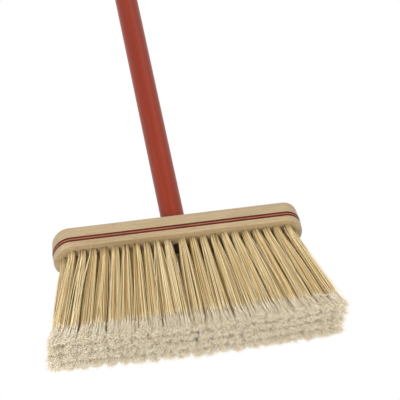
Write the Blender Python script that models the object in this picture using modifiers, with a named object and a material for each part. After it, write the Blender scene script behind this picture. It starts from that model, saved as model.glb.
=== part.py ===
"""Upright push broom: a hardwood block with staple-set tufts of flagged filament and a tapered wooden handle.

Metres, +Z up. The broom stands on its bristle tips: the origin is on the ground under the middle of the
block, X runs along the block, -Y is the front and the handle rises along +Z.
"""

import math

import bmesh
import bpy
from mathutils import Matrix, Vector

# Wooden block
BLOCK_LENGTH = 0.2667
BLOCK_DEPTH = 0.0550
BLOCK_THICKNESS = 0.0270
BLOCK_END_RUN = 0.0192  # how far each half-elliptical end reaches along X
BLOCK_OUTLINE_STEPS = 40
TOP_EDGE_RADIUS = 0.0050
UPPER_LEAN = 0.0016  # how far the edge leans in above the grooves
BOTTOM_EDGE_RADIUS = 0.0020
EDGE_ARC_STEPS = 3

# Two decorative V grooves round the edge of the block, measured up from its underside
GROOVE_BAND_LOW = 0.0058
GROOVE_BAND_HIGH = 0.0114
GROOVE_WIDTH = 0.0017
GROOVE_DEPTH = 0.0005

# Handle, with a taper that is driven into the block
HANDLE_LENGTH = 1.2192
HANDLE_RADIUS = 0.0127
HANDLE_TIP_RADIUS = 0.0100
HANDLE_RECESS = 0.0015  # how far the tapered end stays above the underside of the block
HANDLE_DOME_HEIGHT = 0.0090
HANDLE_SIDES = 32
HANDLE_DOME_STEPS = 6
CLEARANCE = 0.0003

# Tufts: four rows, the inner two broken round the handle socket and half a tuft longer at each end
BRISTLE_LENGTH = 0.1200
TUFT_SIDES = 8
TUFT_ROOT_RADIUS = 0.0033
HOLE_RADIUS = TUFT_ROOT_RADIUS + CLEARANCE
HOLE_DEPTH = 0.0120
TUFT_SET_DEPTH = HOLE_DEPTH - 0.0005
OUTER_ROW_Y = 0.0160
OUTER_PITCH = 0.01115
OUTER_TUFTS = 21
OUTER_TUFTS_LEFT = 10  # the gap at the handle is wider than the others and a little left of the middle
OUTER_LEFT_X = -0.0127
OUTER_RIGHT_X = 0.0023
INNER_ROW_Y = 0.0053
INNER_PITCH = 0.01163
INNER_TUFTS_PER_SIDE = 10
INNER_FIRST_X = 0.0170

# Sweeping face, where the tips have spread to fill a rectangle
FACE_HALF_LENGTH = 0.1556
FACE_HALF_DEPTH = 0.0312
END_RISE = 0.0050  # filaments of one length end higher where they fan out, at the two ends of the face
TIP_GAP = 0.0005
FELT_HEIGHT = 0.0250  # the inner rows' flagged tips are matted together up to here
FELT_COVER = 0.0100  # how far short of the ground the matted tufts end inside the felt

UNDERSIDE_Z = BRISTLE_LENGTH
TOP_Z = BRISTLE_LENGTH + BLOCK_THICKNESS
ROW_FACE_DEPTH = FACE_HALF_DEPTH / 2
ROUND_ANGLE = math.radians(35)

WOOD = ("block_wood", (0.66, 0.50, 0.29), 0.35)
RED_WOOD = ("handle_wood", (0.42, 0.075, 0.03), 0.25)
FILAMENT = ("bristle", (0.60, 0.45, 0.24), 0.55)


def clear_scene():
    for obj in list(bpy.data.objects):
        bpy.data.objects.remove(obj)


def make_collection(name):
    collection = bpy.data.collections.new(name)
    bpy.context.scene.collection.children.link(collection)
    return collection


def make_material(name, colour, roughness):
    material = bpy.data.materials.new(name)
    material.use_nodes = True
    shader = material.node_tree.nodes["Principled BSDF"]
    shader.inputs["Base Color"].default_value = (*colour, 1.0)
    shader.inputs["Roughness"].default_value = roughness
    shader.inputs["Metallic"].default_value = 0.0
    material.diffuse_color = (*colour, 1.0)
    return material


def add_object(name, bm, collection, material=None):
    """A bmesh as a named object in its collection, with round faces smooth and edges sharp."""
    mesh = bpy.data.meshes.new(name)
    bm.to_mesh(mesh)
    bm.free()
    mesh.shade_smooth()
    mesh.set_sharp_from_angle(angle=ROUND_ANGLE)
    obj = bpy.data.objects.new(name, mesh)
    collection.objects.link(obj)
    if material:
        mesh.materials.append(material)
    return obj


def add_cutter(name, bm, collection):
    cutter = add_object(name, bm, collection)
    cutter.hide_render = True
    cutter.display_type = "WIRE"
    return cutter


def add_boolean(obj, other, operation):
    modifier = obj.modifiers.new(f"{operation.lower()} {other.name}", "BOOLEAN")
    modifier.operation = operation
    modifier.object = other
    modifier.solver = "EXACT"


def quarter_arc(centre, radius, start_degrees):
    """Points of a quarter circle in the profile plane, running counter-clockwise from its start angle."""
    angles = [math.radians(start_degrees + 90 * i / EDGE_ARC_STEPS) for i in range(EDGE_ARC_STEPS + 1)]
    return [(centre[0] + radius * math.cos(a), centre[1] + radius * math.sin(a)) for a in angles]


def groove(low):
    """Two points that cut a V groove into the edge: its bottom and its upper lip."""
    return [(-GROOVE_DEPTH, low + GROOVE_WIDTH / 2), (0.0, low + GROOVE_WIDTH)]


def block_edge_profile():
    """(offset out from the outline, height above the underside) up the moulded edge of the block."""
    points = quarter_arc((-BOTTOM_EDGE_RADIUS, BOTTOM_EDGE_RADIUS), BOTTOM_EDGE_RADIUS, -90)
    for low in (GROOVE_BAND_LOW, GROOVE_BAND_HIGH - GROOVE_WIDTH):
        points += [(0.0, low)] + groove(low)
    top_centre = (-UPPER_LEAN - TOP_EDGE_RADIUS, BLOCK_THICKNESS - TOP_EDGE_RADIUS)
    return points + quarter_arc(top_centre, TOP_EDGE_RADIUS, 0)


def turned_block():
    """The edge profile turned about Z, then parted at the middle and drawn out into a long oval."""
    half_depth = BLOCK_DEPTH / 2
    half_step = math.pi / BLOCK_OUTLINE_STEPS
    bm = bmesh.new()
    start = Matrix.Rotation(half_step, 3, "Z")
    points = [start @ Vector((half_depth + out, 0.0, UNDERSIDE_Z + up)) for out, up in block_edge_profile()]
    verts = [bm.verts.new(p) for p in points]
    edges = [bm.edges.new(pair) for pair in zip(verts, verts[1:])]
    bmesh.ops.spin(
        bm, geom=verts + edges, cent=(0, 0, 0), axis=(0, 0, 1), angle=math.tau, steps=BLOCK_OUTLINE_STEPS,
        use_merge=True,
    )
    bmesh.ops.holes_fill(bm, edges=bm.edges[:])
    straight_half = BLOCK_LENGTH / 2 - BLOCK_END_RUN
    for vert in bm.verts:
        run = vert.co.x * BLOCK_END_RUN / half_depth / math.cos(half_step)
        vert.co.x = math.copysign(straight_half, vert.co.x) + run
        vert.co.y /= math.cos(half_step)
    bmesh.ops.recalc_face_normals(bm, faces=bm.faces[:])
    return bm


def upright_cone(low_z, high_z, low_radius, high_radius, sides, at=(0.0, 0.0)):
    """A cylinder or cone frustum on a vertical axis, with a flat side towards each of X and Y."""
    bm = bmesh.new()
    centre = Matrix.Translation((*at, (low_z + high_z) / 2))
    turn = Matrix.Rotation(math.pi / sides, 4, "Z")
    bmesh.ops.create_cone(
        bm, cap_ends=True, segments=sides, radius1=low_radius, radius2=high_radius, depth=high_z - low_z,
        matrix=centre @ turn,
    )
    return bm


def merge_bmeshes(parts):
    """One bmesh that holds every closed shape in parts."""
    whole = bmesh.new()
    for part in parts:
        mesh = bpy.data.meshes.new("part")
        part.to_mesh(mesh)
        part.free()
        whole.from_mesh(mesh)
        bpy.data.meshes.remove(mesh)
    return whole


def outer_root_x(index):
    """Roots of an outer row, from the left."""
    if index < OUTER_TUFTS_LEFT:
        return OUTER_LEFT_X - OUTER_PITCH * (OUTER_TUFTS_LEFT - 1 - index)
    return OUTER_RIGHT_X + OUTER_PITCH * (index - OUTER_TUFTS_LEFT)


def inner_root_x(index):
    """Roots of half an inner row, from the handle outwards."""
    return INNER_FIRST_X + INNER_PITCH * index


def tuft_sites():
    """Every tuft's root as (x, y)."""
    sites = []
    for end in (-1, 1):
        sites += [(outer_root_x(i), end * OUTER_ROW_Y) for i in range(OUTER_TUFTS)]
        for side in (-1, 1):
            sites += [(side * inner_root_x(i), end * INNER_ROW_Y) for i in range(INNER_TUFTS_PER_SIDE)]
    return sites


def tuft_holes():
    low = UNDERSIDE_Z - HOLE_DEPTH
    high = UNDERSIDE_Z + HOLE_DEPTH
    return merge_bmeshes(
        [upright_cone(low, high, HOLE_RADIUS, HOLE_RADIUS, TUFT_SIDES, at=site) for site in tuft_sites()]
    )


def handle_taper_radius(z):
    """The handle's radius where it tapers from the top of the block down to its lower end."""
    share = (TOP_Z - z) / (BLOCK_THICKNESS - HANDLE_RECESS)
    return HANDLE_RADIUS + (HANDLE_TIP_RADIUS - HANDLE_RADIUS) * share


def handle_socket():
    """A tapered through hole that leaves the clearance all round the handle's own taper."""
    low = UNDERSIDE_Z - HANDLE_RECESS
    high = TOP_Z + HANDLE_RECESS
    radii = [handle_taper_radius(z) + CLEARANCE for z in (low, high)]
    return upright_cone(low, high, *radii, HANDLE_SIDES)


def make_block(parts, cutters, material):
    block = add_object("block", turned_block(), parts, material)
    for name, cutter in (("tuft_holes", tuft_holes()), ("handle_socket", handle_socket())):
        add_boolean(block, add_cutter(name, cutter, cutters), "DIFFERENCE")


def make_handle(parts, material):
    """The handle's outline, from the crown of its domed top down to its tapered end, turned about Z."""
    bottom = UNDERSIDE_Z + HANDLE_RECESS
    dome_base = bottom + HANDLE_LENGTH - HANDLE_DOME_HEIGHT
    angles = [math.pi / 2 * (1 - i / HANDLE_DOME_STEPS) for i in range(HANDLE_DOME_STEPS + 1)]
    profile = [
        (HANDLE_RADIUS * math.cos(a), dome_base + HANDLE_DOME_HEIGHT * math.sin(a)) for a in angles
    ]
    profile += [(HANDLE_RADIUS, TOP_Z), (HANDLE_TIP_RADIUS, bottom), (0.0, bottom)]
    bm = bmesh.new()
    turn = Matrix.Rotation(math.pi / HANDLE_SIDES, 3, "Z")
    verts = [bm.verts.new(turn @ Vector((radius, 0.0, z))) for radius, z in profile]
    for pair in zip(verts, verts[1:]):
        bm.edges.new(pair)
    handle = add_object("handle", bm, parts, material)
    screw = handle.modifiers.new("turn", "SCREW")
    screw.steps = HANDLE_SIDES
    screw.render_steps = HANDLE_SIDES
    screw.use_merge_vertices = True
    screw.merge_threshold = 0.00001


def blend(start, end, share):
    return start + (end - start) * share


def spread_at(z):
    """0 at the underside of the block and in its holes, 1 at the tips."""
    return max(0.0, (UNDERSIDE_Z - z) / BRISTLE_LENGTH)


def tip_height(x):
    """How far above the ground the tufts end, at a place along the sweeping face."""
    return END_RISE * (x / FACE_HALF_LENGTH) ** 2


def tuft_shape(root, tip, tip_half_width, tip_half_depth, low_z):
    """A round bundle in its hole that fans out in a straight line to a wider tip."""
    top = UNDERSIDE_Z + TUFT_SET_DEPTH
    bm = upright_cone(low_z, top, TUFT_ROOT_RADIUS, TUFT_ROOT_RADIUS, TUFT_SIDES)
    bmesh.ops.bisect_plane(
        bm, geom=bm.verts[:] + bm.edges[:] + bm.faces[:], plane_co=(0, 0, UNDERSIDE_Z), plane_no=(0, 0, 1)
    )
    flat_radius = TUFT_ROOT_RADIUS * math.cos(math.pi / TUFT_SIDES)
    for vert in bm.verts:
        share = spread_at(vert.co.z)
        widen_x = blend(1.0, tip_half_width / flat_radius, share)
        widen_y = blend(1.0, tip_half_depth / flat_radius, share)
        vert.co.x = blend(root[0], tip[0], share) + vert.co.x * widen_x
        vert.co.y = blend(root[1], tip[1], share) + vert.co.y * widen_y
    return bm


def make_outer_tufts(row, end, parts, material):
    """One node for each tuft of the front or back row, numbered from the left."""
    tip_pitch = 2 * FACE_HALF_LENGTH / OUTER_TUFTS
    half_width = (tip_pitch - TIP_GAP) / 2
    half_depth = (ROW_FACE_DEPTH - TIP_GAP) / 2
    tip_y = FACE_HALF_DEPTH - ROW_FACE_DEPTH / 2
    for index in range(OUTER_TUFTS):
        root = (outer_root_x(index), end * OUTER_ROW_Y)
        tip = (tip_pitch * (index + 0.5) - FACE_HALF_LENGTH, end * tip_y)
        tuft = tuft_shape(root, tip, half_width, half_depth, tip_height(tip[0]))
        add_object(f"tuft_{row}_{index + 1:02d}", tuft, parts, material)


def inner_tip_x(index):
    return FACE_HALF_LENGTH / INNER_TUFTS_PER_SIDE * (index + 0.5)


def felt_shape(side, end, half_width, half_depth):
    """The matted tips of half an inner row: a bar whose four sides follow the spread of its tufts."""
    flat_radius = TUFT_ROOT_RADIUS * math.cos(math.pi / TUFT_SIDES)
    last = INNER_TUFTS_PER_SIDE - 1
    bm = bmesh.new()
    bmesh.ops.create_cube(bm, size=1.0)
    for vert in bm.verts:
        index = 0 if vert.co.x < 0 else last
        z = tip_height(FACE_HALF_LENGTH * index / last) if vert.co.z < 0 else FELT_HEIGHT
        share = spread_at(z)
        centre_x = blend(inner_root_x(index), inner_tip_x(index), share)
        out_x = math.copysign(blend(flat_radius, half_width, share), vert.co.x)
        out_y = math.copysign(blend(flat_radius, half_depth, share), vert.co.y)
        vert.co = (
            side * (centre_x + out_x),
            end * (blend(INNER_ROW_Y, ROW_FACE_DEPTH / 2, share) + out_y),
            z,
        )
    bmesh.ops.recalc_face_normals(bm, faces=bm.faces[:])
    return bm


def make_inner_half_row(name, side, end, parts, cutters, material):
    """Ten tufts of an inner row, joined by their matted tips."""
    half_width = (FACE_HALF_LENGTH / INNER_TUFTS_PER_SIDE - TIP_GAP) / 2
    half_depth = (ROW_FACE_DEPTH - TIP_GAP) / 2
    tufts = []
    for index in range(INNER_TUFTS_PER_SIDE):
        root = (side * inner_root_x(index), end * INNER_ROW_Y)
        tip = (side * inner_tip_x(index), end * ROW_FACE_DEPTH / 2)
        tufts.append(tuft_shape(root, tip, half_width, half_depth, FELT_COVER))
    row = add_object(name, merge_bmeshes(tufts), parts, material)
    felt = add_cutter(f"{name}_felt", felt_shape(side, end, half_width, half_depth), cutters)
    add_boolean(row, felt, "UNION")


def build():
    clear_scene()
    parts = make_collection("push_broom")
    cutters = make_collection("cutters")
    wood = make_material(*WOOD)
    red_wood = make_material(*RED_WOOD)
    filament = make_material(*FILAMENT)
    make_block(parts, cutters, wood)
    make_handle(parts, red_wood)
    for row, end in (("front", -1), ("back", 1)):
        make_outer_tufts(row, end, parts, filament)
        for hand, side in (("left", -1), ("right", 1)):
            make_inner_half_row(f"inner_row_{row}_{hand}", side, end, parts, cutters, filament)


build()
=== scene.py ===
"""Looks of the upright push broom: bored block, lacquered handle, and tufts of filament with split ends."""

import math

import bmesh
import bpy
import numpy as np
from mathutils import Matrix, Quaternion, Vector


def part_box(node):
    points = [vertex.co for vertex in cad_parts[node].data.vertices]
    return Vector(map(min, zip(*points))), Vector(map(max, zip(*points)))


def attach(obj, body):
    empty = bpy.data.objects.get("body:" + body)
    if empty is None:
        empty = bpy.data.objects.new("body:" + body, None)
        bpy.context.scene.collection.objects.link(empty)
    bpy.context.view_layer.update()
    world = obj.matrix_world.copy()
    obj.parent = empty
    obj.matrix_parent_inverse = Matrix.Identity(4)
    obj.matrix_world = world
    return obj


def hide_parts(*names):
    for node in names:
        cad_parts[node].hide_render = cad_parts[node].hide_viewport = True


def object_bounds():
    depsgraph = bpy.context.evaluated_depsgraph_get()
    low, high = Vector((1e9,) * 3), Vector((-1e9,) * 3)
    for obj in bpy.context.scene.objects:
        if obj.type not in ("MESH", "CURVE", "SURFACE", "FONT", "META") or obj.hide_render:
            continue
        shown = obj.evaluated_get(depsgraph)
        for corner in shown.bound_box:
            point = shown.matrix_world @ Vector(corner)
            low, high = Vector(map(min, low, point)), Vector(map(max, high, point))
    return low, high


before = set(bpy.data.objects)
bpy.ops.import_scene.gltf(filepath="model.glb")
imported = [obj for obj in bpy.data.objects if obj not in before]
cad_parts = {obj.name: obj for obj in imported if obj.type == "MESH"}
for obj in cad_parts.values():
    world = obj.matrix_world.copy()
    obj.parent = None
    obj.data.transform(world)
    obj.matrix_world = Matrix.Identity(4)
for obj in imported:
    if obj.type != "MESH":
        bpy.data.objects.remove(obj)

cad_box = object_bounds()

# Camera
CAMERA_AIM = Vector((0.0332, 0.0, 0.1798))
CAMERA_DISTANCE = 2.0823
CAMERA_YAW = math.radians(9.94)
CAMERA_RISE = math.radians(36.0)  # it looks up at the broom
CAMERA_ROLL = math.radians(12.71)
CAMERA_LENS = 173.85

# Light and floor
WORLD_LIGHT = 1.0
KEY_LIGHT = {"location": (-0.9, -1.8, -1.6), "size": 1.2, "power": 44}
TOP_LIGHT = {"location": (0.6, -0.9, 2.0), "size": 1.4, "power": 4}
FLOOR_HALF_SIZE = 40.0

# Block edge, as offsets from its outline and heights above its underside
OUTLINE_STEPS = 96
BLOCK_END_RUN = 0.0192
TOP_EDGE_RADIUS = 0.0050
UPPER_LEAN = 0.0016  # how far the edge leans in above the grooves
BOTTOM_EDGE_RADIUS = 0.0020
GROOVE_BAND = (0.0058, 0.0114)
GROOVE_WIDTH = 0.0017
GROOVE_DEPTH = 0.0005
LINE_WIDTH = 0.0023  # the paint of each line runs a little past its groove
ARC_STEPS = 6
GROOVE_STEPS = 6

# Holes and handle
HOLE_RADIUS = 0.0036
HOLE_DEPTH = 0.0120
HOLE_SIDES = 20
SOCKET_CLEARANCE = 0.0003
SOCKET_OVERRUN = 0.0015
HANDLE_SIDES = 72
CAD_HANDLE_SIDES = 32
HANDLE_TIP_RADIUS = 0.0100
HANDLE_DOME_HEIGHT = 0.0090
DOME_STEPS = 12
STICK_STEPS = 24

# Filaments of a tuft
FILAMENTS = 112
FILAMENT_RADIUS = 0.00028
SHAFT_STATIONS = (0, 0.15, 0.35, 0.55, 0.75, 0.85, 0.92, 1)
SHAFT_SIDES = 4
SHAFT_START = -0.05  # they begin inside the hole
ROOT_SPREAD = 0.0034
SPREAD_POWER = 0.8  # the tufts open out a little faster near the block
BOW = 0.0009
JITTER = 0.0005
TONE_SPREAD = 0.32
STRAY_SHARE = 0.035
STRAY_REACH = np.array((0.0055, 0.0020))
STRAY_TONE = 0.85
BLEACH_FROM = (0.765, 0.815)  # shares of the way from the block to the tip
BLEACH_RUN = 0.07
END_BLEACH = 0.05  # the tufts at the two ends are bleached less far up, by this share

# Fine curly fibres that the end of each filament is split into
SPLIT_AT = (0.81, 0.86)
SPLIT_OVERLAP = 0.02  # the fibres begin this share of the way up inside the shaft
FIBRES_EACH = 4
FIBRE_POINTS = 9
FIBRE_SIDES = 3
FIBRE_RADIUS = 0.00018
HOOK = 0.0016
CURL_TURNS = (0.8, 2.2)
CURL_SIZE = (0.0003, 0.0011)
MAX_SHORTFALL = 0.035

# Lumps that the fibres gather in on the sweeping face
LUMPS = 3
LUMP_HEIGHT = 0.0016
LUMP_RADIUS = 0.65  # in half widths of a tuft's cell
LUMP_PULL = 0.16
LUMP_DOME = 0.012
MAX_PARTING = np.array((0.0025, 0.0190))  # how deep the face parts between tufts, and between rows
PARTING_POWER = 8
FLARE = np.array((1.02, 1.06))  # the soft ends spread a little past the CAD tufts
END_ZONE = 0.0060  # the CAD tufts end below this height and have no other points there
SEED = 11

# Wire anchors in the tuft holes
STAPLE_HALF_WIDTH = 0.0022
STAPLE_LEG = 0.0060
STAPLE_CORNER = 0.0006
STAPLE_WIRE_RADIUS = 0.0004
STAPLE_WIRE_SIDES = 6
STAPLE_DROP = 0.0030  # from the bottom of the hole down to the crown

BAKE_MAP = "OFBake"  # the UV map that gives each strand a cell of its own

BORED = 3  # the block's material slots: wood, dark line, bead, bored wood

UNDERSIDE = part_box("block")[0].z
HALF_LENGTH, _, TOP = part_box("block")[1]
FACE_HALF_SIZE = np.array(cad_box[1][:2])


# ---------------------------------------------------------------- materials


class Shading:
    """A material's node tree, with short calls that add and join nodes."""

    def __init__(self, name):
        self.material = bpy.data.materials.new(name)
        self.material.use_nodes = True
        self.tree = self.material.node_tree
        self.surface = self.tree.nodes["Principled BSDF"]

    def node(self, kind):
        return self.tree.nodes.new(kind)

    def join(self, output, socket):
        self.tree.links.new(output, socket)

    def set(self, **values):
        """Plain values on the shader's own sockets, such as coat_weight=0.3."""
        for name, value in values.items():
            self.surface.inputs[name.replace("_", " ").title().replace("Ior", "IOR")].default_value = value

    def noise(self, stretch, detail, distortion=0.0):
        """Noise with this many cells a metre along X, Y and Z."""
        place = self.node("ShaderNodeTexCoord")
        mapping = self.node("ShaderNodeMapping")
        mapping.inputs["Scale"].default_value = stretch
        texture = self.node("ShaderNodeTexNoise")
        texture.inputs["Scale"].default_value = 1.0
        texture.inputs["Detail"].default_value = detail
        texture.inputs["Distortion"].default_value = distortion
        self.join(place.outputs["Object"], mapping.inputs["Vector"])
        self.join(mapping.outputs["Vector"], texture.inputs["Vector"])
        return texture.outputs["Fac"]

    def attribute(self, name):
        attribute = self.node("ShaderNodeAttribute")
        attribute.attribute_name = name
        return attribute.outputs["Fac"]

    def ramp(self, value, *stops):
        ramp = self.node("ShaderNodeValToRGB")
        elements = ramp.color_ramp.elements
        while len(elements) < len(stops):
            elements.new(0.5)
        for element, (position, colour) in zip(elements, stops):
            element.position = position
            element.color = (*colour, 1.0)
        self.join(value, ramp.inputs["Fac"])
        return ramp.outputs["Color"]

    def mix(self, kind, share, first, second):
        """Mixes two colours by a plain share or by a node's output."""
        mix = self.node("ShaderNodeMixRGB")
        mix.blend_type = kind
        if isinstance(share, float):
            mix.inputs["Fac"].default_value = share
        else:
            self.join(share, mix.inputs["Fac"])
        self.join(first, mix.inputs["Color1"])
        self.join(second, mix.inputs["Color2"])
        return mix.outputs["Color"]

    def colour(self, value):
        self.join(value, self.surface.inputs["Base Color"])

    def rough(self, value, low, high):
        scaled = self.node("ShaderNodeMapRange")
        scaled.inputs["To Min"].default_value = low
        scaled.inputs["To Max"].default_value = high
        self.join(value, scaled.inputs["Value"])
        self.join(scaled.outputs["Result"], self.surface.inputs["Roughness"])

    def bump(self, value, strength, distance):
        bump = self.node("ShaderNodeBump")
        bump.inputs["Strength"].default_value = strength
        bump.inputs["Distance"].default_value = distance
        self.join(value, bump.inputs["Height"])
        self.join(bump.outputs["Normal"], self.surface.inputs["Normal"])


WHITE = (1.0, 1.0, 1.0)


def block_wood():
    """Pale lacquered hardwood with its grain along X, soft figure and fine dark pores."""
    shading = Shading("block_wood")
    figure = shading.noise((5, 42, 42), 3.0, 1.2)
    grain = shading.noise((26, 520, 520), 4.0)
    pores = shading.noise((160, 1500, 1500), 1.0)
    base = shading.ramp(
        figure, (0.25, (0.32, 0.235, 0.125)), (0.55, (0.41, 0.305, 0.175)), (0.8, (0.46, 0.36, 0.225))
    )
    lines = shading.ramp(grain, (0.3, (0.78, 0.74, 0.68)), (0.6, WHITE))
    specks = shading.ramp(pores, (0.27, (0.52, 0.44, 0.35)), (0.38, WHITE))
    grained = shading.mix("MULTIPLY", 0.75, base, lines)
    shading.colour(shading.mix("MULTIPLY", 0.7, grained, specks))
    shading.rough(grain, 0.34, 0.50)
    shading.bump(grain, 0.12, 0.0003)
    shading.set(coat_weight=0.15, coat_roughness=0.3, specular_ior_level=0.35)
    return shading.material


def bored_wood():
    """Raw wood cut by a drill, darker and rougher than the lacquered faces."""
    shading = Shading("bored_wood")
    grain = shading.noise((60, 600, 600), 4.0)
    shading.colour(shading.ramp(grain, (0.3, (0.20, 0.12, 0.055)), (0.7, (0.34, 0.22, 0.11))))
    shading.rough(grain, 0.7, 0.9)
    shading.bump(grain, 0.3, 0.0003)
    return shading.material


def line_paint(name, dark, light):
    """Brushed line paint over the wood, a little uneven along the edge."""
    shading = Shading(name)
    patches = shading.noise((60, 60, 400), 3.0)
    shading.colour(shading.ramp(patches, (0.3, dark), (0.7, light)))
    shading.rough(patches, 0.4, 0.55)
    shading.bump(patches, 0.1, 0.0002)
    shading.set(specular_ior_level=0.15)
    return shading.material


def handle_lacquer():
    """Red-brown lacquer over a turned stick whose grain still shows along its length."""
    shading = Shading("handle_lacquer")
    figure = shading.noise((70, 70, 3), 3.0, 0.8)
    grain = shading.noise((900, 900, 14), 4.0)
    base = shading.ramp(
        figure, (0.3, (0.20, 0.020, 0.006)), (0.6, (0.25, 0.027, 0.008)), (0.8, (0.30, 0.037, 0.012))
    )
    lines = shading.ramp(grain, (0.3, (0.74, 0.64, 0.60)), (0.6, WHITE))
    shading.colour(shading.mix("MULTIPLY", 0.6, base, lines))
    shading.rough(grain, 0.28, 0.42)
    shading.bump(grain, 0.08, 0.0002)
    shading.set(specular_ior_level=0.18, coat_weight=0.1, coat_roughness=0.25)
    return shading.material


def stick_end_painted_shade():
    """The stick's sawn lower end, its end grain painted near-black as painted shade for the dark socket
    that it sits in.
    """
    shading = Shading("stick_end_painted_shade")
    rings = shading.noise((500, 500, 500), 3.0, 2.0)
    shading.colour(shading.ramp(rings, (0.3, (0.030, 0.014, 0.008)), (0.7, (0.075, 0.035, 0.020))))
    shading.rough(rings, 0.7, 0.9)
    shading.bump(rings, 0.3, 0.0004)
    return shading.material


def bristle():
    """Tan filament, each strand with a tone of its own, that bleaches to cream near the split end."""
    shading = Shading("bristle")
    tone = shading.attribute("tone")
    bloom = shading.attribute("bloom")
    tan = shading.ramp(
        tone, (0.0, (0.34, 0.20, 0.05)), (0.5, (0.80, 0.61, 0.295)), (1.0, (0.98, 0.89, 0.62))
    )
    cream = shading.ramp(
        tone, (0.0, (0.74, 0.61, 0.40)), (0.5, (0.95, 0.86, 0.67)), (1.0, (0.99, 0.96, 0.87))
    )
    streaks = shading.noise((900, 900, 60), 2.0)
    shade = shading.ramp(streaks, (0.3, (0.80, 0.77, 0.72)), (0.7, WHITE))
    coloured = shading.mix("MIX", bloom, tan, cream)
    shading.colour(shading.mix("MULTIPLY", 0.5, coloured, shade))
    shading.rough(bloom, 0.38, 0.75)
    shading.bump(streaks, 0.1, 0.0001)
    return shading.material


def staple_steel():
    shading = Shading("staple_steel")
    wear = shading.noise((900, 900, 900), 2.0)
    shading.colour(shading.ramp(wear, (0.3, (0.42, 0.42, 0.43)), (0.7, (0.62, 0.62, 0.63))))
    shading.rough(wear, 0.25, 0.45)
    shading.bump(wear, 0.1, 0.0001)
    shading.set(metallic=1.0)
    return shading.material


# ---------------------------------------------------------------- camera, light and floor


def add_object(name, data):
    made = bpy.data.objects.new(name, data)
    bpy.context.scene.collection.objects.link(made)
    return made


def make_camera():
    """Looks up at the front of the broom from below, turned a little to the right and rolled clockwise."""
    forward = Vector((
        math.sin(CAMERA_YAW) * math.cos(CAMERA_RISE),
        math.cos(CAMERA_YAW) * math.cos(CAMERA_RISE),
        math.sin(CAMERA_RISE),
    ))
    camera = add_object("camera", bpy.data.cameras.new("camera"))
    camera.data.lens = CAMERA_LENS
    camera.location = CAMERA_AIM - forward * CAMERA_DISTANCE
    camera.rotation_mode = "QUATERNION"
    camera.rotation_quaternion = forward.to_track_quat("-Z", "Y") @ Quaternion((0, 0, 1), -CAMERA_ROLL)
    bpy.context.scene.camera = camera


def make_area_light(name, location, size, power):
    """A round soft light that shines at the block."""
    light = bpy.data.lights.new(name, "AREA")
    light.shape = "DISK"
    light.size = size
    light.energy = power
    lamp = add_object(name, light)
    lamp.location = location
    lamp.rotation_mode = "QUATERNION"
    lamp.rotation_quaternion = (Vector((0, 0, UNDERSIDE)) - Vector(location)).to_track_quat("-Z", "Y")


def make_world():
    """White to the camera, a little warmer as a light."""
    world = bpy.data.worlds.new("studio")
    bpy.context.scene.world = world
    world.use_nodes = True
    tree = world.node_tree
    light = tree.nodes["Background"]
    light.inputs["Color"].default_value = (1.0, 0.985, 0.96, 1.0)
    light.inputs["Strength"].default_value = WORLD_LIGHT
    seen = tree.nodes.new("ShaderNodeBackground")
    seen.inputs["Color"].default_value = (1.0, 1.0, 1.0, 1.0)
    path = tree.nodes.new("ShaderNodeLightPath")
    mix = tree.nodes.new("ShaderNodeMixShader")
    tree.links.new(path.outputs["Is Camera Ray"], mix.inputs["Fac"])
    tree.links.new(light.outputs["Background"], mix.inputs[1])
    tree.links.new(seen.outputs["Background"], mix.inputs[2])
    tree.links.new(mix.outputs["Shader"], tree.nodes["World Output"].inputs["Surface"])


def floor_paint():
    """Pale paint that is seen from above only."""
    shading = Shading("floor_paint")
    patches = shading.noise((3, 3, 3), 2.0)
    shading.colour(shading.ramp(patches, (0.3, (0.855, 0.855, 0.845)), (0.7, (0.87, 0.87, 0.86))))
    shading.rough(patches, 0.8, 0.95)
    side = shading.node("ShaderNodeNewGeometry")
    clear = shading.node("ShaderNodeBsdfTransparent")
    mix = shading.node("ShaderNodeMixShader")
    shading.join(side.outputs["Backfacing"], mix.inputs["Fac"])
    shading.join(shading.surface.outputs["BSDF"], mix.inputs[1])
    shading.join(clear.outputs["BSDF"], mix.inputs[2])
    shading.join(mix.outputs["Shader"], shading.tree.nodes["Material Output"].inputs["Surface"])
    return shading.material


def make_floor():
    """It takes no light from the tips that stand on it, so they look the same from below."""
    bm = bmesh.new()
    bmesh.ops.create_grid(bm, size=FLOOR_HALF_SIZE)
    mesh = bpy.data.meshes.new("floor")
    bm.to_mesh(mesh)
    bm.free()
    mesh.materials.append(floor_paint())
    floor = add_object("floor", mesh)
    floor.visible_shadow = False
    floor.visible_diffuse = False
    floor.visible_glossy = False


# ---------------------------------------------------------------- mesh helpers


def add_piece(name, mesh, body, replaced=()):
    piece = add_object(name, mesh)
    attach(piece, body)
    if replaced:
        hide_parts(*replaced)


def spin_profile(points, steps):
    """A bmesh turned about Z from a profile of points."""
    bm = bmesh.new()
    verts = [bm.verts.new(point) for point in points]
    edges = [bm.edges.new(pair) for pair in zip(verts, verts[1:])]
    bmesh.ops.spin(
        bm, geom=verts + edges, cent=(0, 0, 0), axis=(0, 0, 1), angle=math.tau, steps=steps, use_merge=True
    )
    return bm


def finish_turned(bm, name, materials):
    mesh = bpy.data.meshes.new(name)
    bm.to_mesh(mesh)
    bm.free()
    for material in materials:
        mesh.materials.append(material)
    return mesh


def smooth_with_edges(mesh):
    mesh.shade_smooth()
    mesh.set_sharp_from_angle(angle=math.radians(40))


# ---------------------------------------------------------------- block


def arc(centre, radius, start_degrees):
    angles = [math.radians(start_degrees + 90 * i / ARC_STEPS) for i in range(ARC_STEPS + 1)]
    return [(centre[0] + radius * math.cos(a), centre[1] + radius * math.sin(a)) for a in angles]


def groove(low):
    """A round-bottomed groove from its lower lip to its upper lip."""
    shares = [i / GROOVE_STEPS for i in range(GROOVE_STEPS + 1)]
    return [(-GROOVE_DEPTH * math.sin(math.pi * s), low + GROOVE_WIDTH * s) for s in shares]


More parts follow.
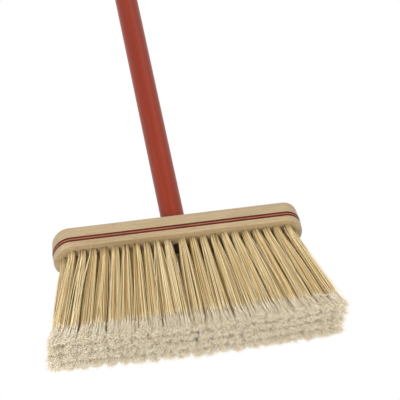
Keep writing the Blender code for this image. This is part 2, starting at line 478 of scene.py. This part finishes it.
def edge_profile(thickness):
    points = arc((-BOTTOM_EDGE_RADIUS, BOTTOM_EDGE_RADIUS), BOTTOM_EDGE_RADIUS, -90)
    band_low, band_high = GROOVE_BAND
    points += groove(band_low) + [(0, band_low + LINE_WIDTH)]
    points += [(0, band_high - LINE_WIDTH)] + groove(band_high - GROOVE_WIDTH)
    points += arc((-UPPER_LEAN - TOP_EDGE_RADIUS, thickness - TOP_EDGE_RADIUS), TOP_EDGE_RADIUS, 0)
    return points


def turned_block():
    """The edge profile turned about Z, then parted at the middle and drawn out into a long oval."""
    low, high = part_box("block")
    half_depth = (high.y - low.y) / 2
    half_step = math.pi / OUTLINE_STEPS
    start = Matrix.Rotation(half_step, 3, "Z")
    profile = edge_profile(high.z - low.z)
    points = [start @ Vector((half_depth + out, 0, low.z + up)) for out, up in profile]
    bm = spin_profile(points, OUTLINE_STEPS)
    bmesh.ops.holes_fill(bm, edges=bm.edges[:])
    straight_half = high.x - BLOCK_END_RUN
    for vert in bm.verts:
        run = vert.co.x / math.cos(half_step) * BLOCK_END_RUN / half_depth
        vert.co.x = math.copysign(straight_half, vert.co.x) + run
        vert.co.y /= math.cos(half_step)
    bmesh.ops.recalc_face_normals(bm, faces=bm.faces[:])
    return bm


def paint_index(up):
    """0 wood, 1 dark line, 2 the lighter bead between the two lines, at a height above the underside."""
    band_low, band_high = GROOVE_BAND
    if not band_low < up < band_high:
        return 0
    return 1 if up < band_low + LINE_WIDTH or up > band_high - LINE_WIDTH else 2


def add_cones(bm, sites, low_z, high_z, low_radius, high_radius, sides):
    for x, y in sites:
        bmesh.ops.create_cone(
            bm, cap_ends=True, segments=sides, radius1=low_radius, radius2=high_radius,
            depth=high_z - low_z, matrix=Matrix.Translation((x, y, (low_z + high_z) / 2)),
        )


def make_bores(roots, material):
    """The cutter for the tuft holes and the handle's tapered socket."""
    bm = bmesh.new()
    low, high = UNDERSIDE - HOLE_DEPTH, UNDERSIDE + HOLE_DEPTH
    add_cones(bm, roots, low, high, HOLE_RADIUS, HOLE_RADIUS, HOLE_SIDES)
    low, high = UNDERSIDE - SOCKET_OVERRUN, TOP + SOCKET_OVERRUN
    low_radius, high_radius = (handle_radius(z) + SOCKET_CLEARANCE for z in (low, high))
    add_cones(bm, [(0, 0)], low, high, low_radius, high_radius, HANDLE_SIDES)
    for face in bm.faces:
        face.material_index = BORED
    return add_object("bores", finish_turned(bm, "bores", [material] * (BORED + 1)))


def make_block(roots):
    bored = bored_wood()
    bm = turned_block()
    for face in bm.faces:
        face.material_index = paint_index(face.calc_center_median().z - UNDERSIDE)
    dark_line = line_paint("line_paint", (0.065, 0.009, 0.004), (0.11, 0.018, 0.008))
    bead = line_paint("bead_paint", (0.30, 0.105, 0.06), (0.38, 0.155, 0.095))
    materials = [block_wood(), dark_line, bead, bored]
    block = add_object("uncut_block", finish_turned(bm, "uncut_block", materials))
    bores = make_bores(roots, bored)
    bore = block.modifiers.new("bores", "BOOLEAN")
    bore.object = bores
    bore.operation = "DIFFERENCE"
    cut = bpy.data.meshes.new_from_object(block.evaluated_get(bpy.context.evaluated_depsgraph_get()))
    bpy.data.objects.remove(block)
    bpy.data.objects.remove(bores)
    smooth_with_edges(cut)
    cut.name = "oval_block"
    add_piece("oval_block", cut, "head", ["block"])


# ---------------------------------------------------------------- handle


def handle_radius(z):
    """The stick's radius on its taper, which runs from the top of the block to its lower end."""
    low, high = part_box("handle")
    full = high.y / math.cos(math.pi / CAD_HANDLE_SIDES)
    share = (TOP - z) / (TOP - low.z)
    return full + (HANDLE_TIP_RADIUS - full) * share


def make_handle():
    low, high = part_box("handle")
    full = handle_radius(TOP)
    dome_base = high.z - HANDLE_DOME_HEIGHT
    angles = [math.pi / 2 * (1 - i / DOME_STEPS) for i in range(DOME_STEPS + 1)]
    profile = [(full * math.cos(a), 0, dome_base + HANDLE_DOME_HEIGHT * math.sin(a)) for a in angles]
    profile += [(full, 0, z) for z in np.linspace(dome_base, TOP, STICK_STEPS)[1:]]
    profile += [(HANDLE_TIP_RADIUS, 0, low.z), (0, 0, low.z)]
    bm = spin_profile(profile, HANDLE_SIDES)
    bmesh.ops.remove_doubles(bm, verts=bm.verts[:], dist=0.00001)
    bmesh.ops.recalc_face_normals(bm, faces=bm.faces[:])
    # the flat lower end gets the near-black painted shade of the socket, the rest the lacquer
    for face in bm.faces:
        face.material_index = 1 if face.normal.z < -0.9 else 0
    mesh = finish_turned(bm, "handle_stick", [handle_lacquer(), stick_end_painted_shade()])
    smooth_with_edges(mesh)
    add_piece("handle_stick", mesh, "handle", ["handle"])


# ---------------------------------------------------------------- strands


def tube_verts(paths, radii, sides):
    """Rings of points round paths (strand, point, xyz)."""
    along = np.gradient(paths, axis=1)
    along /= np.linalg.norm(along, axis=2, keepdims=True)
    across = np.empty_like(paths)
    side = np.tile((1.0, 0.0, 0.0), (len(paths), 1))
    for i in range(paths.shape[1]):
        side = side - (side * along[:, i]).sum(1, keepdims=True) * along[:, i]
        side /= np.linalg.norm(side, axis=1, keepdims=True)
        across[:, i] = side
    beside = np.cross(along, across)
    angles = np.arange(sides)[None, None, :, None] * math.tau / sides
    rings = across[:, :, None] * np.cos(angles) + beside[:, :, None] * np.sin(angles)
    return paths[:, :, None] + rings * radii[:, :, None, None]


def tube_faces(count, length, sides, first):
    """Quads (strand, step, side, corner) and the two end caps (strand, end, corner) of tubes, by vertex."""
    index = first + np.arange(count * length * sides).reshape(count, length, sides)
    turned = np.roll(index, -1, axis=2)
    quads = np.stack([index[:, :-1], turned[:, :-1], turned[:, 1:], index[:, 1:]], axis=-1)
    caps = np.stack([index[:, 0, ::-1], index[:, -1]], axis=1)
    return quads, caps


def strand_uvs(count, length, sides, cells, first):
    """UV corners for tube_faces: every strand fills its own upright cell of a grid."""
    columns, rows = cells
    number = first + np.arange(count)
    corner = np.stack([number % columns, number // columns], axis=-1) + 0.1
    step = np.arange(length - 1)
    side = np.arange(sides)
    u = np.stack([side, side + 1, side + 1, side], axis=-1) / sides
    v = np.stack([step, step, step + 1, step + 1], axis=-1) / (length - 1)
    quads = np.empty((count, length - 1, sides, 4, 2))
    quads[..., 0] = corner[:, None, None, None, 0] + 0.8 * u[None, None]
    quads[..., 1] = corner[:, None, None, None, 1] + 0.8 * v[None, :, None]
    caps = np.empty((count, 2, sides, 2))
    caps[..., 0] = corner[:, None, None, 0] + 0.8 * (side + 0.5) / sides
    caps[..., 1] = corner[:, None, None, 1] + 0.8 * np.array([0, 1])[None, :, None]
    return [corners / cells for corners in (quads, caps)]


def strand_mesh(name, groups, material):
    """One mesh from groups of strands: (paths, radii, sides, tones, blooms)."""
    total = sum(len(group[0]) for group in groups)
    columns = math.ceil(math.sqrt(total * 4))
    cells = np.array([columns, math.ceil(total / columns)])
    verts, corners, sizes, uvs, tones, blooms = [], [], [], [], [], []
    made = 0
    done = 0
    for paths, radii, sides, tone, bloom in groups:
        count, length = radii.shape
        verts.append(tube_verts(paths, radii, sides).reshape(-1, 3))
        for faces in tube_faces(count, length, sides, made):
            corners.append(faces.ravel())
            sizes.append(np.full(faces.size // faces.shape[-1], faces.shape[-1]))
        uvs += [uv.reshape(-1, 2) for uv in strand_uvs(count, length, sides, cells, done)]
        tones.append(np.repeat(tone, length * sides))
        blooms.append(np.repeat(bloom.ravel(), sides))
        made += count * length * sides
        done += count
    corners, sizes = np.concatenate(corners), np.concatenate(sizes)
    mesh = bpy.data.meshes.new(name)
    mesh.vertices.add(made)
    mesh.vertices.foreach_set("co", np.concatenate(verts).astype(np.float32).ravel())
    mesh.loops.add(len(corners))
    mesh.loops.foreach_set("vertex_index", corners.astype(np.int32))
    mesh.polygons.add(len(sizes))
    mesh.polygons.foreach_set("loop_start", (np.cumsum(sizes) - sizes).astype(np.int32))
    mesh.uv_layers.new(name=BAKE_MAP)
    mesh.uv_layers[BAKE_MAP].data.foreach_set("uv", np.concatenate(uvs).astype(np.float32).ravel())
    for attribute, values in (("tone", tones), ("bloom", blooms)):
        mesh.attributes.new(attribute, "FLOAT", "POINT")
        mesh.attributes[attribute].data.foreach_set("value", np.concatenate(values).astype(np.float32))
    mesh.materials.append(material)
    mesh.update(calc_edges=True)
    mesh.shade_smooth()
    return mesh


# ---------------------------------------------------------------- tufts


def node_points(node):
    """A CAD node's points, as an array."""
    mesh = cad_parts[node].data
    points = np.zeros(len(mesh.vertices) * 3, np.float32)
    mesh.vertices.foreach_get("co", points)
    return points.reshape(-1, 3).astype(float)


def tuft_roots(node):
    """The middle of each ring of points at the top of a node, from low X to high X."""
    points = node_points(node)
    ring = points[points[:, 2] > points[:, 2].max() - 0.0001][:, :2]
    ring = ring[np.argsort(ring[:, 0])]
    groups = np.split(ring, np.nonzero(np.diff(ring[:, 0]) > HOLE_RADIUS)[0] + 1)
    return [(group.min(0) + group.max(0)) / 2 for group in groups]


def tip_cells(node, count):
    """(middle, height, half size) of each tuft's share of the node's end, from low X to high X."""
    points = node_points(node)
    end = points[points[:, 2] < END_ZONE]
    low, high = end[:, :2].min(0), end[:, :2].max(0)
    half = (high - low) / 2 / (count, 1)
    middles = [low + half * (2 * i + 1, 1) for i in range(count)]
    left, right = end[end[:, 0].argmin()], end[end[:, 0].argmax()]
    heights = np.interp([x for x, _ in middles], (left[0], right[0]), (left[2], right[2]))
    return [(middle, height, half) for middle, height in zip(middles, heights)]


def smooth_step(value):
    value = np.clip(value, 0, 1)
    return value * value * (3 - 2 * value)


def disk_and_square(rng):
    """Evenly spread places in a unit disk, and where each goes when the disk fills a square."""
    number = np.arange(FILAMENTS)
    radius = np.sqrt((number + 0.5) / FILAMENTS)
    angle = number * math.pi * (3 - math.sqrt(5)) + rng.uniform(0, math.tau)
    disk = np.stack([radius * np.cos(angle), radius * np.sin(angle)], axis=1)
    disk += rng.normal(0, 0.05, disk.shape)
    reach = np.maximum(np.abs(disk).max(1, keepdims=True), 0.01)
    square = disk * np.linalg.norm(disk, axis=1, keepdims=True) / reach
    return disk, np.clip(square, -1.05, 1.05)


def lump_pull(rng, square):
    """For each place: the way to its lump's middle, its distance in lump radii, and the lump's height."""
    middles = rng.uniform(-0.75, 0.75, (LUMPS, 2))
    for _ in range(6):
        nearest = np.linalg.norm(square[:, None] - middles, axis=2).argmin(1)
        for i in range(LUMPS):
            if (nearest == i).any():
                middles[i] = square[nearest == i].mean(0)
    way = middles[nearest] - square
    height = rng.uniform(0.0, LUMP_HEIGHT, LUMPS)[nearest]
    return way, np.clip(np.linalg.norm(way, axis=1) / LUMP_RADIUS, 0, 1.3), height


class Tuft:
    """The course of a tuft's filaments from its hole to its cell of the sweeping face."""

    def __init__(self, rng, root, middle, height, half):
        self.root = root
        self.tip = middle + rng.normal(0, JITTER, 2)
        self.late_bleach = END_BLEACH * (root[0] / HALF_LENGTH) ** 2
        self.length = UNDERSIDE - height
        self.disk, square = disk_and_square(rng)
        way, self.out, self.lump_height = lump_pull(rng, square)
        self.tip_offset = (square + way * LUMP_PULL) * half + rng.normal(0, JITTER, square.shape)
        edge = np.abs(np.clip(square, -1, 1)) ** PARTING_POWER
        self.edge_rise = edge @ rng.uniform(0, MAX_PARTING, 2)
        self.bow = rng.normal(0, BOW, (FILAMENTS, 2))
        self.stray = rng.random(FILAMENTS) < STRAY_SHARE
        self.tip_offset[self.stray] += rng.normal(0, STRAY_REACH, (int(self.stray.sum()), 2))
        self.tip_offset = np.clip(self.tip + self.tip_offset, -FACE_HALF_SIZE, FACE_HALF_SIZE) - self.tip

    def place(self, share):
        """Points at each filament's own shares (strand, point) of the way down."""
        down = np.clip(share, 0, None)[..., None]
        centre = self.root + (self.tip - self.root) * down
        opened = down ** SPREAD_POWER
        spread = self.disk[:, None] * ROOT_SPREAD * (1 - opened) + self.tip_offset[:, None] * opened
        swell = np.sin(np.pi * np.clip(down, 0, 1)) * self.bow[:, None]
        height = UNDERSIDE - self.length * share[..., None]
        return np.concatenate([centre + spread + swell, height], axis=-1)


def tuft_groups(rng, tuft):
    """Strand groups for the shafts and for the fibres that they split into."""
    split = rng.uniform(*SPLIT_AT, FILAMENTS) + tuft.late_bleach / 2
    shares = SHAFT_START + (split[:, None] - SHAFT_START) * np.array(SHAFT_STATIONS)
    radii = np.full(shares.shape, FILAMENT_RADIUS)
    radii[:, -1] *= 0.7
    tone = np.clip(rng.normal(rng.uniform(0.42, 0.58), TONE_SPREAD, FILAMENTS), 0, 1)
    tone[tuft.stray] = STRAY_TONE
    bleach = rng.uniform(*BLEACH_FROM, FILAMENTS) + tuft.late_bleach
    bloom = smooth_step((shares - bleach[:, None]) / BLEACH_RUN)
    shafts = (tuft.place(shares), radii, SHAFT_SIDES, tone, bloom)

    along = np.linspace(0, 1, FIBRE_POINTS)
    begin = split - SPLIT_OVERLAP
    fibres = []
    for _ in range(FIBRES_EACH):
        short = rng.beta(0.9, 4.0, FILAMENTS) * MAX_SHORTFALL
        rise = (tuft.lump_height + tuft.edge_rise) / tuft.length
        end = 1 - rise - short - LUMP_DOME * tuft.out ** 2
        drop = np.sin(along * math.pi / 2 * 1.04)
        path = tuft.place(begin[:, None] + (end - begin)[:, None] * drop)
        hook = rng.normal(0, HOOK, (FILAMENTS, 1, 2)) * (1 - np.cos(along * math.pi / 2))[None, :, None]
        turns = rng.uniform(*CURL_TURNS, (FILAMENTS, 1, 1))
        phase = rng.uniform(0, math.tau, (FILAMENTS, 1, 2))
        size = rng.uniform(*CURL_SIZE, (FILAMENTS, 1, 1)) * along[None, :, None]
        path[:, :, :2] *= 1 + (FLARE - 1) * along[:, None]
        path[:, :, :2] += hook + size * np.sin(phase + turns * along[None, :, None] * math.tau)
        path[:, :, 2] = np.maximum(path[:, :, 2], FIBRE_RADIUS)
        fibres.append(path)
    fibres = np.concatenate(fibres)
    fibre_radii = FIBRE_RADIUS * (1 - 0.4 * along) * rng.uniform(0.7, 1.2, (len(fibres), 1))
    fibre_tone = np.clip(np.tile(tone, FIBRES_EACH) * 0.4 + rng.normal(0.33, 0.28, len(fibres)), 0, 1)
    fibre_bloom = np.tile(0.45 + 0.55 * smooth_step(along * 4), (len(fibres), 1))
    return [shafts, (fibres, fibre_radii, FIBRE_SIDES, fibre_tone, fibre_bloom)]


def make_tufts():
    """Every tuft is its own piece. Returns the places of their roots."""
    rng = np.random.default_rng(SEED)
    material = bristle()
    roots = []
    for node in sorted(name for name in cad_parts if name.startswith(("tuft_", "inner_row_"))):
        places = tuft_roots(node)
        cells = tip_cells(node, len(places))
        for number, (root, cell) in enumerate(zip(places, cells), start=1):
            name = f"bristles_{node}" if len(places) == 1 else f"bristles_{node}_{number:02d}"
            groups = tuft_groups(rng, Tuft(rng, root, *cell))
            add_piece(name, strand_mesh(name, groups, material), "head", [node])
            roots.append(root)
    return roots


def make_staples(roots):
    """One wire anchor in each hole: a crown across the folded tuft and two legs up into the wood."""
    crown_z = UNDERSIDE + HOLE_DEPTH - STAPLE_DROP
    half = np.array([
        (STAPLE_HALF_WIDTH, 0, STAPLE_LEG),
        (STAPLE_HALF_WIDTH, 0, STAPLE_CORNER),
        (STAPLE_HALF_WIDTH - STAPLE_CORNER, 0, 0),
    ])
    wire = np.concatenate([half * (-1, 1, 1), half[::-1]])
    paths = np.array([wire + (x, y, crown_z) for x, y in roots])
    radii = np.full(paths.shape[:2], STAPLE_WIRE_RADIUS)
    groups = [(paths, radii, STAPLE_WIRE_SIDES, np.zeros(len(paths)), np.zeros(radii.shape))]
    add_piece("tuft_staples", strand_mesh("tuft_staples", groups, staple_steel()), "head")


make_camera()
make_world()
bpy.context.scene.view_settings.view_transform = "Standard"
make_area_light("key", **KEY_LIGHT)
make_area_light("top", **TOP_LIGHT)
make_floor()
make_handle()
tuft_places = make_tufts()
make_block(tuft_places)
make_staples(tuft_places)
